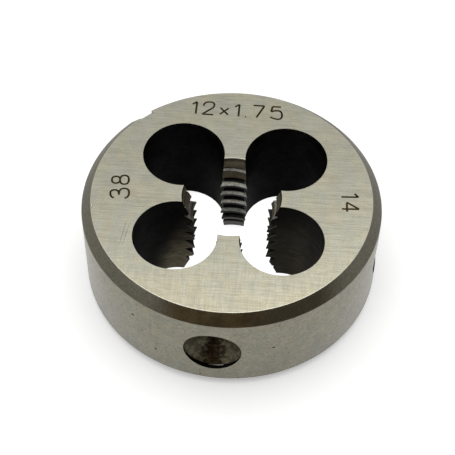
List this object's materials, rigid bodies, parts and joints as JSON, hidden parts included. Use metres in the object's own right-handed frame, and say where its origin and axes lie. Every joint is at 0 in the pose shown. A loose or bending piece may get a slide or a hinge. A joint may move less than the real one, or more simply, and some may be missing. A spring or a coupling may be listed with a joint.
{
  "type": "round threading die",
  "caption": "Round screwing die for cutting external threads by hand, with toothed lands, chip holes and screw seats in the rim.",
  "frame": {"origin": "centre of the lower face, on the thread axis", "axes": "+Z along the thread axis, up through the marked face; the toothed lands stand on X and Y"},
  "size_m": [0.038, 0.038, 0.014],
  "materials": {
    "tool_steel": "hardened high-speed steel, ground bright on the faces and the rim, dark from heat treatment in the holes and on the chamfers"
  },
  "bodies": {
    "root": {"die_body": "tool_steel"}
  },
  "joints": []
}
